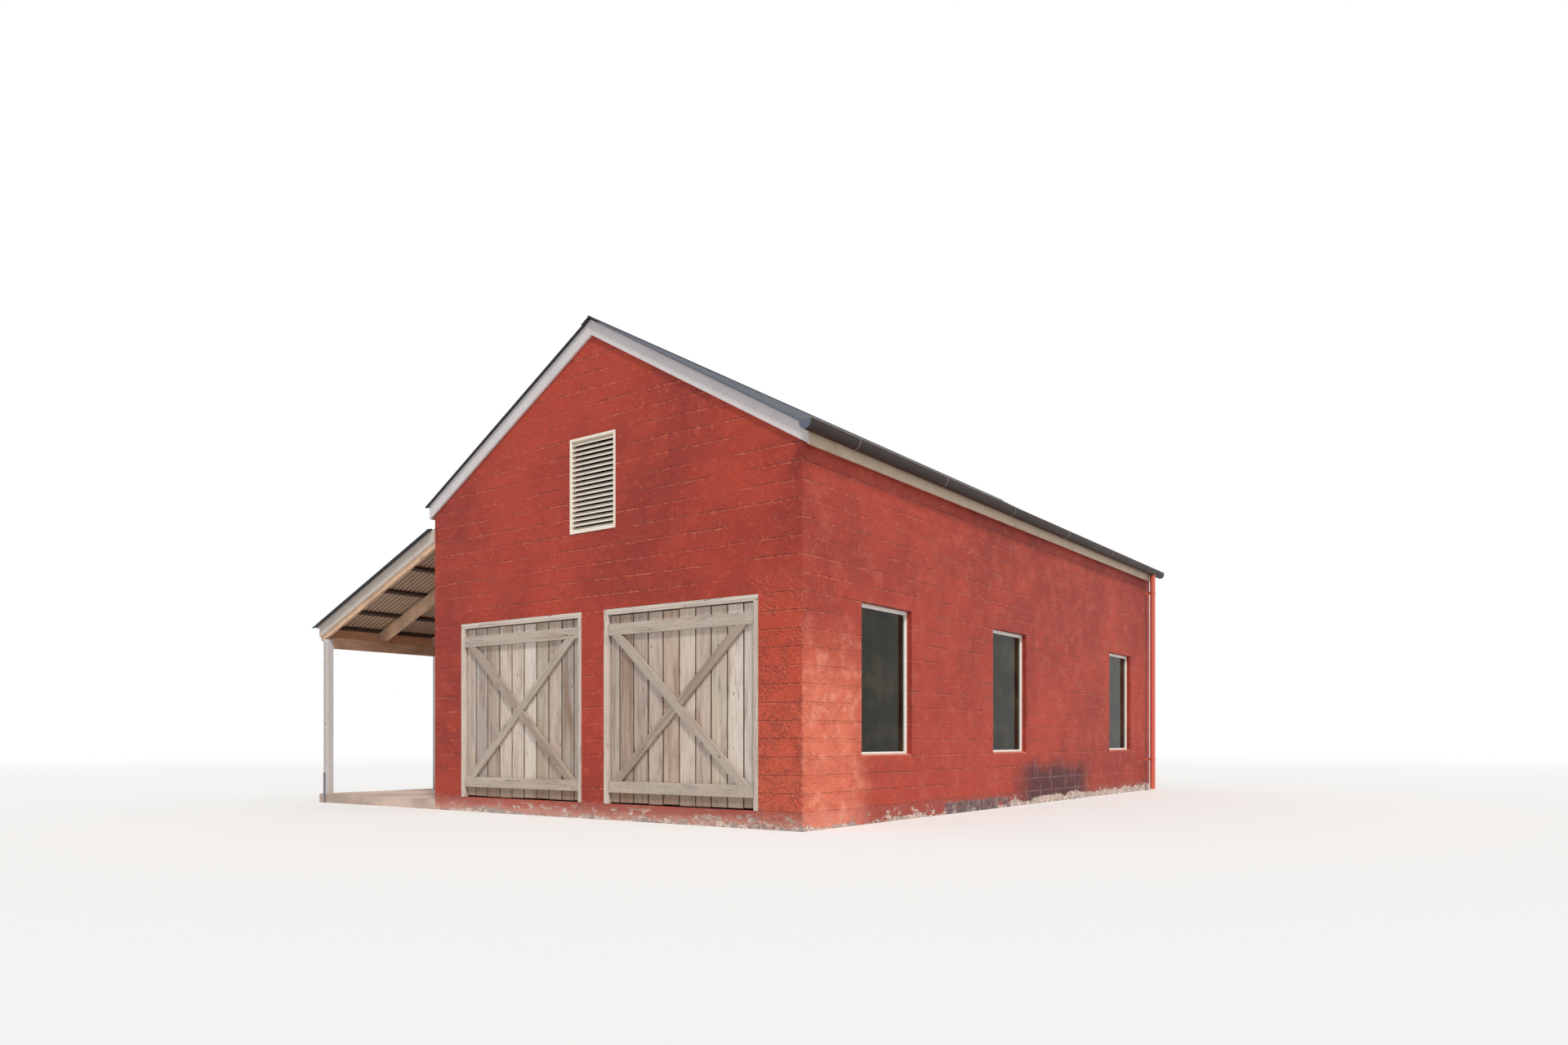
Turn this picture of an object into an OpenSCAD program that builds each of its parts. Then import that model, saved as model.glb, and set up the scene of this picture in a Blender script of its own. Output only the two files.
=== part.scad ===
// Painted block barn with a steep corrugated roof, two braced board doors and a lean-to awning.
// The front gable faces -Y and the window wall faces +X. The origin is under the middle of the whole outline.

/* [Walls] */
// Width of the front gable wall
front_w = 6400; // [6000:100:8000]
// Length of the side walls, over both end walls
side_l = 12200; // [11400:100:14000]
// Height of the side walls
wall_h = 4200; // [3900:100:5000]
// Thickness of the block walls
wall_t = 190; // [140:10:240]
// Height of the bottom course, which is also the floor level
floor_h = 200; // [100:10:300]

/* [Doorways] */
// Width of each doorway
door_w = 2400; // [1800:50:2600]
// Height of each doorway
door_h = 2400; // [1900:50:2600]
// Width of the pier between the doorways
pier_w = 400; // [200:50:700]
// Face width of the frame timbers
jamb_w = 65; // [40:5:90]
// Depth of the frame timbers
jamb_d = 70; // [66:2:100]
// How far the frame stands in front of the wall
jamb_proud = 5; // [0:1:20]

/* [Door leaves] */
// Gap between a leaf and its frame, at the sides and the top
leaf_gap = 10; // [6:1:15]
// Gap under a leaf
leaf_lift = 12; // [8:1:30]
// Thickness of the boards
board_t = 25; // [18:1:30]
// Width of one board
board_w = 245; // [120:5:300]
// Width of the outer board of the left leaf
board_edge_left = 190; // [60:5:240]
// Width of the outer board of the right leaf
board_edge_right = 150; // [60:5:240]
// Width and depth of the groove between two boards
board_groove = 6; // [3:1:10]
// Thickness of the rails and braces
rail_t = 38; // [25:1:40]
// Depth of the rails
rail_h = 140; // [90:5:180]
// Distance from the top of a leaf to its top rail
rail_drop = 108; // [60:2:200]
// Distance from the foot of a leaf to its bottom rail
rail_lift = 130; // [60:2:200]
// Width of the cross braces
brace_w = 105; // [70:5:140]
// Distance from the edge of a leaf to the middle of a brace's end
brace_set = 140; // [100:5:220]

/* [Hinges] */
// Number of hinges on each leaf
hinge_n = 3; // [2:1:4]
// Distance of the hinge pin behind the back of a leaf
hinge_set = 18; // [16:1:24]
// Diameter of the hinge pin
pin_d = 14; // [10:1:16]
// Clearance round the hinge pin, on the diameter
pin_play = 1; // [0.6:0.2:1.6]
// Wall of the strap's eye
eye_wall = 5.5; // [4:0.5:7]
// Length of a strap
strap_l = 700; // [400:20:900]
// Height of a strap and its eye
strap_h = 40; // [30:2:60]
// Thickness of a strap
strap_t = 6; // [4:1:8]

/* [Windows] */
// Width of a window
win_w = 1200; // [800:50:1500]
// Height of a window
win_h = 1800; // [1200:50:2100]
// Height of the window sills above the base
sill_z = 800; // [600:50:1200]
// Distance from each end of a side wall to the window nearest it
win_end = 1200; // [600:50:1600]
// Distance from the front corner to the window between them
win_mid = 4800; // [4200:50:5400]
// How far the window frames are set back from the wall face
win_recess = 70; // [20:5:100]
// Face width of the window frame
win_frame = 45; // [30:5:70]
// Depth of the window frame
win_depth = 60; // [40:5:80]
// Thickness of the glass
glass_t = 6; // [4:1:10]
// Thickness of the sills at the wall face
sill_edge = 4; // [2:1:20]
// Fall of the sills over their depth
sill_fall = 14; // [4:1:30]

/* [Gable vents] */
// Width of a vent
vent_w = 800; // [500:50:1200]
// Height of a vent
vent_h = 1200; // [700:50:1300]
// Height of the foot of a vent above the base
vent_z = 3600; // [3300:50:3700]
// Face width of the vent frame
vent_frame = 28; // [20:2:50]
// How far the vent frame stands in front of the wall
vent_proud = 12; // [4:1:30]
// Depth of the vent frame
vent_depth = 80; // [70:5:120]
// Number of blades
blade_n = 18; // [8:1:20]
// Width of a blade across its slope
blade_w = 75; // [60:1:78]
// Thickness of a blade
blade_t = 6; // [3:1:8]
// Slope of the blades
blade_tilt = 45; // [30:1:55]

/* [Main roof] */
// Pitch of the main roof
roof_pitch = 30; // [22:1:38]
// Depth of the bargeboards
barge_d = 165; // [150:5:220]
// Thickness of the bargeboards
barge_t = 30; // [20:1:40]
// Distance from a side wall to the face of its fascia
eave_out = 85; // [60:5:200]
// How far the roof sheets run past the fascia
sheet_drip = 50; // [20:5:70]
// How far the roof sheets run past the end walls
verge = 75; // [40:5:150]
// Depth of the purlins
purlin_d = 40; // [30:2:50]
// Width of the purlins
purlin_w = 70; // [40:5:90]
// Number of purlins on each slope
purlin_n = 5; // [3:1:7]
// Depth of the rafters
rafter_d = 120; // [90:5:140]
// Thickness of the rafters
rafter_t = 45; // [35:1:60]
// Number of rafters on each slope
rafter_n = 11; // [6:1:16]
// Thickness of the ridge board
ridge_t = 32; // [20:1:50]
// Depth of the ridge board
ridge_d = 180; // [140:10:240]
// Width of the wall plates
plate_w = 100; // [70:5:120]
// Height of the wall plates
plate_h = 70; // [60:5:90]

/* [Corrugated sheet] */
// Pitch of the corrugations
wave_p = 76; // [60:1:100]
// Height of the corrugations
wave_h = 17; // [12:1:30]
// Thickness of the sheet
sheet_t = 3; // [2:0.5:5]
// Width of each leg of the ridge cap
cap_leg = 150; // [100:10:220]
// Radius of the roll on the ridge cap
cap_roll = 12; // [8:1:20]

/* [Fascia, gutter and downpipe] */
// Thickness of the fascia boards
fascia_t = 22; // [18:1:30]
// How far the fascia hangs below the top of the side wall
fascia_drop = 50; // [20:5:100]
// Width of the gutter
gutter_w = 150; // [110:5:180]
// Height of the gutter
gutter_h = 110; // [95:5:140]
// Thickness of the gutter
gutter_t = 3; // [2:0.5:5]
// Height of the underside of the gutter above the top of the side wall
gutter_lift = 50; // [20:5:80]
// How far the gutter runs past the end walls
gutter_run = 190; // [80:5:250]
// Diameter of the rolled bead along the front edge of the gutter
bead_d = 10; // [7:1:14]
// Number of gutter brackets
bracket_n = 6; // [2:1:12]
// Distance from each end of the side wall to the bracket nearest it
bracket_in = 780; // [200:20:1200]
// Width of a gutter bracket
bracket_w = 20; // [12:1:40]
// Thickness of a gutter bracket
bracket_t = 4; // [2:0.5:6]
// Diameter of the downpipe
pipe_d = 100; // [75:5:105]
// Wall of the downpipe
pipe_wall = 4; // [3:0.5:6]
// Distance from the rear corner to the middle of the downpipe
pipe_in = 325; // [100:5:600]
// Distance from the top of the side wall down to the upper pipe clip
clip_drop = 310; // [150:10:600]

/* [Awning] */
// Pitch of the awning roof
awning_pitch = 22; // [16:1:24]
// Height of the underside of the awning sheet at the wall
awning_z = 3995; // [3700:5:4000]
// Distance from the left wall to the outer faces of the posts
post_out = 2865; // [2400:5:3400]
// Width of the posts
post_w = 100; // [80:5:120]
// Number of posts
post_n = 7; // [4:1:9]
// Diameter of the cable pipe on the front post
conduit_d = 25; // [16:1:32]
// Height of the cable pipe
conduit_h = 2550; // [1500:50:2550]
// Diameter of the sleeve round the foot of the cable pipe
sleeve_d = 32; // [26:1:40]
// Height of the sleeve
sleeve_h = 480; // [200:20:700]
// Thickness of the awning beam
beam_t = 70; // [45:5:75]
// Depth of the awning beam
beam_d = 170; // [120:5:240]
// Depth of the awning rafters
awning_rafter_d = 190; // [140:5:220]
// Thickness of the awning rafters
awning_rafter_t = 45; // [35:1:60]
// Number of awning rafters
awning_rafter_n = 13; // [7:1:16]
// Depth of the awning battens
batten_d = 38; // [25:1:50]
// Width of the awning battens
batten_w = 75; // [50:5:100]
// Distance from the posts' outer faces to the awning fascia's face
awning_eave = 85; // [60:5:200]
// How far the awning sheet runs past its fascia
awning_drip = 80; // [30:5:150]
// How far the awning sheet runs past the front and rear ends
awning_verge = 110; // [50:5:180]
// Thickness of the ledger on the wall
ledger_t = 45; // [35:1:60]
// Thickness of the concrete slab under the awning
slab_h = 140; // [80:10:200]
// How far the slab runs past the posts
slab_out = 135; // [60:5:200]
// Height of the flashing over the awning sheet
flashing_h = 95; // [50:5:110]

/* [Hidden] */

$fn = 48;
cut = 1;                                   // how far a cutting solid runs past the face it cuts
seat = 0.1;                                // play where a piece lies on another on a slope

// Colours
paint_red = [0.66, 0.17, 0.12];
paint_cream = [0.85, 0.83, 0.78];
weathered = [0.62, 0.57, 0.52];
dark_metal = [0.22, 0.23, 0.27];
white_metal = [0.93, 0.93, 0.92];
clear_glass = [0.35, 0.42, 0.42, 0.6];
concrete = [0.66, 0.65, 0.62];
raw_timber = [0.62, 0.48, 0.34];
stained_timber = [0.25, 0.17, 0.12];
sheet_beige = [0.72, 0.68, 0.60];
bare_steel = [0.35, 0.34, 0.33];

// Main lines of the barn
half_w = front_w / 2;
front_y = -side_l / 2;
door_top = floor_h + door_h;
door_in = pier_w / 2;                      // inner edge of a doorway, from the middle of the front
door_out = door_in + door_w;               // outer edge of a doorway
inside_w = front_w - 2 * wall_t;
inside_l = side_l - 2 * wall_t;

// Roof lines: the underside of the sheets is the reference plane of each slope
barge_v = barge_d / cos(roof_pitch);
sheet_z = wall_h + barge_v + half_w * tan(roof_pitch);
purlin_v = purlin_d / cos(roof_pitch);
bed_v = purlin_v + seat;                   // depth of what the purlins lie on, below the reference plane
rafter_v = rafter_d / cos(roof_pitch);
slope_l = (half_w + eave_out + sheet_drip) / cos(roof_pitch);
fascia_top = sheet_z - (half_w + eave_out) * tan(roof_pitch);
fascia_z = wall_h - fascia_drop;
gutter_r = gutter_w / 2;
gutter_z = wall_h + gutter_lift;
cap_v = wave_h / cos(roof_pitch);          // height of the ridge cap over the reference plane

// Leaf lines, for the right leaf
leaf_in = door_in + jamb_w + leaf_gap;
leaf_out = door_out - jamb_w - leaf_gap;
leaf_z = floor_h + leaf_lift;
leaf_top = door_top - jamb_w - leaf_gap;
leaf_back = front_y - jamb_proud + jamb_d; // back plane of the leaves and frames
leaf_h = leaf_top - leaf_z;
pin_y = leaf_back + hinge_set;
eye_r = (pin_d + pin_play) / 2 + eye_wall;
hinge_foot = rail_lift + rail_h / 2;       // height of the lowest hinge over the foot of a leaf
hinge_head = rail_drop + rail_h / 2;       // distance of the highest hinge below the top of a leaf
hinge_zs = [for (i = [0 : hinge_n - 1])
    leaf_z + hinge_foot + i * (leaf_h - hinge_foot - hinge_head) / (hinge_n - 1)];

// Awning lines, measured outwards from the left wall
awning_tip = post_out + awning_eave + awning_drip;
awning_reach = awning_tip + wave_h * sin(awning_pitch); // the tops of the waves reach a little further
batten_v = batten_d / cos(awning_pitch) + seat;
awning_rafter_v = awning_rafter_d / cos(awning_pitch);
awning_face = post_out + awning_eave;      // outer face of the awning fascia
post_in = post_out - post_w;
beam_top = awning_z - batten_v - awning_rafter_v - (post_in + beam_t / 2) * tan(awning_pitch);
batten_first = 300;                        // first batten, down the slope from the wall
batten_step = 755;
batten_last = awning_face / cos(awning_pitch) - batten_w / 2;
batten_xs = [for (x = [batten_first : batten_step : batten_last - batten_step / 2]) x, batten_last];

// The barn stands to the right of the middle, because the awning reaches further out than the gutter
gutter_reach = eave_out + gutter_w + max(bracket_t, (bead_d - gutter_t) / 2);
barn_x = (awning_reach - gutter_reach) / 2;

// Heights of the reference planes over a point
function roof_z(x) = sheet_z - abs(x) * tan(roof_pitch);
function awning_sheet_z(u) = awning_z - u * tan(awning_pitch);
function spaced(i, n, total, size) = i * (total - size) / (n - 1);

// Frames of reference
module at_barn() translate([barn_x, 0, 0]) children();
module both_sides() { children(); mirror([1, 0, 0]) children(); }
module both_ends() { children(); mirror([0, 1, 0]) children(); }
module on_left() mirror([1, 0, 0]) children();
// The right slope: x runs down the slope from the ridge, z is square to the sheet
module on_slope() translate([0, 0, sheet_z]) rotate([0, roof_pitch, 0]) children();
// The awning: x runs outwards from the left wall
module on_awning() at_barn() translate([-half_w, 0, 0]) mirror([1, 0, 0]) children();
module on_awning_slope() on_awning() translate([0, 0, awning_z]) rotate([0, awning_pitch, 0]) children();
// An outline in x and z, extruded along y from the given start
module along_y(start, length)
    translate([0, start + length, 0]) rotate([90, 0, 0]) linear_extrude(length) children();

// Walls
module wall_box(x0, x1, z0, z1) translate([x0, front_y, z0]) cube([x1 - x0, wall_t, z1 - z0]);

module front_plinth() color(paint_red) at_barn() wall_box(-half_w, half_w, 0, floor_h);

module front_pier_left() color(paint_red) at_barn() wall_box(-half_w, -door_out, floor_h, door_top);

module front_pier_centre() color(paint_red) at_barn() wall_box(-door_in, door_in, floor_h, door_top);

module front_pier_right() color(paint_red) at_barn() wall_box(door_out, half_w, floor_h, door_top);

module gable(z0) polygon([[-half_w, z0], [half_w, z0], [half_w, roof_z(half_w) - bed_v],
    [0, sheet_z - bed_v], [-half_w, roof_z(half_w) - bed_v]]);

module vent_hole() translate([-vent_w / 2, vent_z]) square([vent_w, vent_h]);

module front_gable_wall() color(paint_red) at_barn() along_y(front_y, wall_t) difference() {
    gable(door_top);
    vent_hole();
}

module rear_wall() color(paint_red) at_barn() along_y(-front_y - wall_t, wall_t) difference() {
    gable(0);
    vent_hole();
}

module window_places()
    for (y = [win_end, win_mid, side_l - win_end - win_w]) translate([0, front_y + y, sill_z]) children();

module side_wall() difference() {
    translate([half_w - wall_t, front_y + wall_t, 0]) cube([wall_t, inside_l, wall_h]);
    translate([half_w - wall_t - cut, 0, 0]) window_places() cube([wall_t + 2 * cut, win_w, win_h]);
}

module right_wall() color(paint_red) at_barn() side_wall();

module left_wall() color(paint_red) at_barn() on_left() side_wall();

module floor_slab() color(concrete) at_barn()
    translate([-inside_w / 2, -inside_l / 2, 0]) cube([inside_w, inside_l, floor_h]);

// Door frames, drawn for the right doorway
module door_frame() translate([0, front_y - jamb_proud, 0]) difference() {
    translate([door_in, 0, floor_h]) cube([door_w, jamb_d, door_h]);
    translate([door_in + jamb_w, -cut, floor_h - cut])
        cube([door_w - 2 * jamb_w, jamb_d + 2 * cut, door_h - jamb_w + cut]);
}

module door_frames() color(weathered) at_barn() both_sides() door_frame();

// Boards of the right leaf, with the joints counted from its outer edge
module leaf_boards(edge_w) difference() {
    translate([leaf_in, leaf_back - board_t, leaf_z]) cube([leaf_out - leaf_in, board_t, leaf_h]);
    for (x = [leaf_out - edge_w : -board_w : leaf_in + board_groove])
        for (y = [leaf_back - board_t, leaf_back])
            translate([x, y, leaf_z + leaf_h / 2])
                cube([board_groove, board_groove * 2, leaf_h + 2 * cut], center = true);
}

module left_door_boards() color(weathered) at_barn() on_left() leaf_boards(board_edge_left);

module right_door_boards() color(weathered) at_barn() leaf_boards(board_edge_right);

// Rails and cross brace of the right leaf, in x and z
rail_foot_top = leaf_z + rail_lift + rail_h;
rail_head_foot = leaf_top - rail_drop - rail_h;

module rail(z) translate([leaf_in, z]) square([leaf_out - leaf_in, rail_h]);

module diagonal(x_foot, x_head) {
    lean = atan2(rail_head_foot - rail_foot_top, x_head - x_foot);
    half = brace_w / 2 / sin(lean);        // half the width of the cut end along a rail
    polygon([[x_foot - half, rail_foot_top - cut], [x_foot + half, rail_foot_top - cut],
        [x_head + half, rail_head_foot + cut], [x_head - half, rail_head_foot + cut]]);
}

module leaf_braces() along_y(leaf_back - board_t - rail_t, rail_t) {
    rail(leaf_z + rail_lift);
    rail(leaf_top - rail_drop - rail_h);
    diagonal(leaf_in + brace_set, leaf_out - brace_set);
    diagonal(leaf_out - brace_set, leaf_in + brace_set);
}

module left_door_braces() color(weathered) at_barn() on_left() leaf_braces();

module right_door_braces() color(weathered) at_barn() leaf_braces();

// Strap hinges behind the right leaf, each with an eye on its pin
module leaf_straps() for (z = hinge_zs) translate([leaf_out, pin_y, z]) difference() {
    union() {
        cylinder(r = eye_r, h = strap_h, center = true);
        translate([-strap_l, -hinge_set, -strap_h / 2]) cube([strap_l, strap_t, strap_h]);
    }
    cylinder(d = pin_d + pin_play, h = strap_h + 2 * cut, center = true);
}

module left_door_straps() color(bare_steel) at_barn() on_left() leaf_straps();

module right_door_straps() color(bare_steel) at_barn() leaf_straps();

// A pin stands on a lug, whose plate is fixed to the back of the jamb
lug_h = strap_h / 2;
lug_gap = 0.5;                             // play between a lug and the eye over it

module leaf_pins() for (z = hinge_zs) translate([leaf_out, pin_y, z - strap_h / 2 - lug_gap]) {
    translate([0, 0, -lug_h]) cylinder(d = pin_d, h = lug_h + lug_gap + strap_h + lug_gap);
    translate([0, 0, -lug_h]) cylinder(r = eye_r - 2, h = lug_h);
    translate([0, -strap_t, -lug_h]) cube([leaf_gap + jamb_w / 2, strap_t * 1.5, lug_h]);
    translate([leaf_gap + strap_t, -hinge_set, -lug_h])
        cube([jamb_w - 2 * strap_t, strap_t, lug_h + strap_h]);
    translate([leaf_gap + jamb_w / 2 - strap_t, -hinge_set, -lug_h]) cube([strap_t, hinge_set, lug_h]);
}

module hinge_pins() color(bare_steel) at_barn() both_sides() leaf_pins();

// Windows of both side walls
module at_frames(depth)
    at_barn() both_sides() translate([half_w - win_recess - depth, 0, 0]) window_places() children();

module window_frames() color(white_metal) at_frames(win_depth) difference() {
    cube([win_depth, win_w, win_h]);
    translate([-cut, win_frame, win_frame])
        cube([win_depth + 2 * cut, win_w - 2 * win_frame, win_h - 2 * win_frame]);
}

module window_glass() color(clear_glass) at_frames((win_depth + glass_t) / 2)
    translate([0, win_frame, win_frame]) cube([glass_t, win_w - 2 * win_frame, win_h - 2 * win_frame]);

// Sloping sills in front of the window frames
sill_back = half_w - win_recess;

module window_sills() color(paint_red) at_barn() both_sides() window_places() along_y(0, win_w)
    polygon([[sill_back, 0], [half_w, 0], [half_w, sill_edge], [sill_back, sill_edge + sill_fall]]);

// Louvre vents: a frame with sloping blades that shed water outwards
blade_clear = vent_h - 2 * vent_frame;

module vent_blade() rotate([blade_tilt, 0, 0])
    cube([vent_w - vent_frame, blade_w, blade_t], center = true);

module gable_vent() translate([0, front_y - vent_proud + vent_depth / 2, vent_z]) {
    difference() {
        translate([-vent_w / 2, -vent_depth / 2, 0]) cube([vent_w, vent_depth, vent_h]);
        translate([-vent_w / 2 + vent_frame, -vent_depth, vent_frame])
            cube([vent_w - 2 * vent_frame, 2 * vent_depth, blade_clear]);
    }
    for (i = [0 : blade_n - 1])
        translate([0, 0, vent_frame + (i + 0.5) * blade_clear / blade_n]) vent_blade();
}

module gable_vents() color(paint_cream) at_barn() both_ends() gable_vent();

// One corrugated sheet: the waves follow each other along y, and the sheet runs down the slope
function wave_low(i) = [[i * wave_p, 0], [(i + 0.2) * wave_p, 0],
    [(i + 0.5) * wave_p, wave_h - sheet_t], [(i + 0.7) * wave_p, wave_h - sheet_t]];

module corrugated(length, run) {
    waves = floor(length / wave_p);
    side = (length - waves * wave_p) / 2;  // flat strip that is left at each edge
    last = waves * wave_p;
    low = [[-side, 0], for (i = [0 : waves - 1]) each wave_low(i), [last, 0], [last + side, 0]];
    high = [for (i = [len(low) - 1 : -1 : 0]) low[i] + [0, sheet_t]];
    translate([0, side - length / 2, 0]) rotate([90, 0, 90]) linear_extrude(run)
        polygon([each low, each high]);
}

ridge_clear = 20;                          // gap between the sheets at the ridge, down the slope

module roof_sheet() on_slope() translate([ridge_clear, 0, 0])
    corrugated(side_l + 2 * verge, slope_l - ridge_clear);

module roof_sheet_right() color(dark_metal) at_barn() roof_sheet();

module roof_sheet_left() color(dark_metal) at_barn() on_left() roof_sheet();

cap_x = cap_leg * cos(roof_pitch);
cap_top = sheet_z + cap_v + sheet_t / cos(roof_pitch);

module ridge_cap() color(dark_metal) at_barn() along_y(front_y - verge, side_l + 2 * verge) {
    edge_low = roof_z(cap_x) + cap_v;
    edge_top = roof_z(cap_x) + cap_top - sheet_z;
    polygon([[-cap_x, edge_low], [0, sheet_z + cap_v], [cap_x, edge_low],
        [cap_x, edge_top], [0, cap_top], [-cap_x, edge_top]]);
    translate([0, cap_top]) circle(cap_roll);
}

// Roof timbers
module ridge_board() color(raw_timber) at_barn() along_y(-inside_l / 2, inside_l)
    translate([-ridge_t / 2, roof_z(ridge_t / 2) - bed_v - ridge_d]) square([ridge_t, ridge_d]);

plate_in = half_w - (wall_t + plate_w) / 2; // inner face of a wall plate, from the middle

module plate_outline() translate([plate_in, wall_h]) square([plate_w, plate_h]);

module wall_plates() color(raw_timber) at_barn() both_sides()
    along_y(-inside_l / 2, inside_l) plate_outline();

rafter_end = half_w + eave_out - fascia_t;

module rafter_outline() difference() {
    polygon([[ridge_t / 2, roof_z(ridge_t / 2) - bed_v], [rafter_end, roof_z(rafter_end) - bed_v],
        [rafter_end, roof_z(rafter_end) - bed_v - rafter_v],
        [ridge_t / 2, roof_z(ridge_t / 2) - bed_v - rafter_v]]);
    plate_outline();
}

module rafters() color(raw_timber) at_barn() both_sides() for (i = [0 : rafter_n - 1])
    along_y(-inside_l / 2 + spaced(i, rafter_n, inside_l, rafter_t), rafter_t) rafter_outline();

purlin_first = 120;                        // first purlin, down the slope from the ridge
purlin_run = (half_w - wall_t / 2) / cos(roof_pitch) - purlin_first;

module purlins() color(raw_timber) at_barn() both_sides() on_slope() for (i = [0 : purlin_n - 1])
    translate([purlin_first + spaced(i, purlin_n, purlin_run, purlin_w), front_y, -purlin_d])
        cube([purlin_w, side_l, purlin_d]);

// Bargeboards: a pair at each gable, cut plumb at the ridge and at the eaves
barge_joint = 1;                           // open joint between the two boards at the ridge
barge_end = half_w + eave_out;

module barge_pair() both_sides() along_y(front_y - barge_t, barge_t) polygon([
    [barge_joint, roof_z(barge_joint)], [barge_end, roof_z(barge_end)],
    [barge_end, roof_z(barge_end) - barge_v], [barge_joint, roof_z(barge_joint) - barge_v]]);

module barge_front() color(paint_cream) at_barn() barge_pair();

module barge_rear() color(paint_cream) at_barn() mirror([0, 1, 0]) barge_pair();

module eave_fascias() color(paint_cream) at_barn() both_sides()
    translate([rafter_end, front_y, fascia_z]) cube([fascia_t, side_l, fascia_top - fascia_z]);

// Gutter: a half-round trough with upright upper sides and closed ends, lower at the back, under the sheets
gutter_back = fascia_top - gutter_z - 5;

module at_gutter() translate([half_w + eave_out, 0, gutter_z]) children();
module at_pipe(z) translate([half_w + eave_out + gutter_r, -front_y - pipe_in, z]) children();

module gutter_outline(r, extra) {
    intersection() {
        translate([gutter_r, gutter_r]) circle(r);
        square([gutter_w, gutter_r]);
    }
    polygon([[gutter_r - r, gutter_r], [gutter_r + r, gutter_r],
        [gutter_r + r, gutter_h + extra], [gutter_r - r, gutter_back + extra]]);
}

module gutter_bead() along_y(front_y - gutter_run, side_l + 2 * gutter_run)
    translate([gutter_w - gutter_t / 2, gutter_h]) circle(d = bead_d);

module gutter() color(dark_metal) at_barn() {
    difference() {
        at_gutter() along_y(front_y - gutter_run, side_l + 2 * gutter_run) gutter_outline(gutter_r, 0);
        at_gutter() along_y(front_y - gutter_run + gutter_t, side_l + 2 * (gutter_run - gutter_t))
            gutter_outline(gutter_r - gutter_t, cut);
    }
    at_gutter() gutter_bead();
}

// Brackets: straps from the fascia round the underside of the gutter, up to its bead
// A strap meets the fascia where its outer arc does
bracket_back = gutter_r - sqrt(pow(gutter_r + bracket_t, 2) - pow(gutter_r, 2));

module bracket_outline() {
    difference() {
        translate([gutter_r, gutter_r]) circle(gutter_r + bracket_t);
        translate([gutter_r, gutter_r]) circle(gutter_r);
        translate([-gutter_w, bracket_back]) square([gutter_w + gutter_r, gutter_w]);
        translate([gutter_r, gutter_r]) square(gutter_w);
    }
    translate([gutter_w, gutter_r]) square([bracket_t, gutter_h - bead_d / 2 - seat - gutter_r]);
}

module gutter_brackets() color(dark_metal) at_barn() at_gutter() for (i = [0 : bracket_n - 1])
    along_y(front_y + bracket_in + spaced(i, bracket_n, side_l - 2 * bracket_in, bracket_w), bracket_w)
        bracket_outline();

// Downpipe: upright under the gutter, held off the wall by two clips
pipe_foot = 30;                            // height of the open foot over the base
clip_h = 40;
clip_t = 6;
clip_zs = [floor_h * 3, wall_h - clip_drop];
pipe_off = eave_out + gutter_r;            // distance from the wall to the middle of the pipe

module pipe_clip() difference() {
    union() {
        cylinder(d = pipe_d + 2 * clip_t, h = clip_h);
        translate([-pipe_off, -clip_t, 0]) cube([pipe_off, 2 * clip_t, clip_h]);
    }
    translate([0, 0, -cut]) cylinder(d = pipe_d - pipe_wall, h = clip_h + 2 * cut);
}

module downpipe() color(paint_red) at_barn() {
    difference() {
        at_pipe(pipe_foot) cylinder(d = pipe_d, h = gutter_z + gutter_r / 2 - pipe_foot);
        at_pipe(pipe_foot - cut) cylinder(d = pipe_d - 2 * pipe_wall, h = gutter_z + gutter_r);
        at_gutter() along_y(-front_y - 2 * pipe_in, 2 * pipe_in)
            translate([gutter_r, gutter_r]) circle(gutter_r);
    }
    for (z = clip_zs) at_pipe(z) pipe_clip();
}

// Awning
module awning_slab() color(concrete) on_awning()
    translate([0, front_y, 0]) cube([post_out + slab_out, side_l, slab_h]);

module beam_box() translate([post_in, front_y + post_w, beam_top - beam_d])
    cube([beam_t, side_l - 2 * post_w, beam_d]);

// Height of the underside of the awning rafters over a point
function awning_rafter_z(u) = awning_sheet_z(u) - batten_v - awning_rafter_v;

module awning_posts() color(paint_cream) on_awning() difference() {
    for (i = [0 : post_n - 1]) translate([post_in, front_y + spaced(i, post_n, side_l, post_w), slab_h])
        cube([post_w, post_w, awning_rafter_z(post_out) - slab_h]);
    beam_box();
}

// A cable pipe up the outer edge of the front post, with saddles, in a wider sleeve at its foot
module post_conduit() color(paint_cream) on_awning()
    translate([post_out - sleeve_d, front_y - sleeve_d / 2, 0]) {
        cylinder(d = conduit_d, h = conduit_h);
        cylinder(d = sleeve_d, h = sleeve_h);
        for (z = [conduit_h / 3, conduit_h / 2, conduit_h * 2 / 3])
            translate([-sleeve_d * 0.8, -sleeve_d * 0.1, z]) cube([sleeve_d * 1.6, sleeve_d * 0.6, sleeve_d]);
    }

module awning_beam() color(paint_cream) on_awning() beam_box();

fascia_in = awning_face - fascia_t;        // inner face of the awning fascia

module awning_rafter_outline() polygon([
    [ledger_t, awning_sheet_z(ledger_t) - batten_v], [fascia_in, awning_sheet_z(fascia_in) - batten_v],
    [fascia_in, awning_rafter_z(fascia_in)], [ledger_t, awning_rafter_z(ledger_t)]]);

module awning_rafters() color(paint_cream) on_awning() difference() {
    for (i = [0 : awning_rafter_n - 1])
        along_y(front_y + spaced(i, awning_rafter_n, side_l, awning_rafter_t), awning_rafter_t)
            awning_rafter_outline();
    beam_box();
}

module awning_battens() color(stained_timber) on_awning_slope() for (x = batten_xs)
    translate([x - batten_w / 2, front_y, -batten_d]) cube([batten_w, side_l, batten_d]);

sheet_start = 12;                          // gap between the awning sheet and the wall, down the slope

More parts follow.
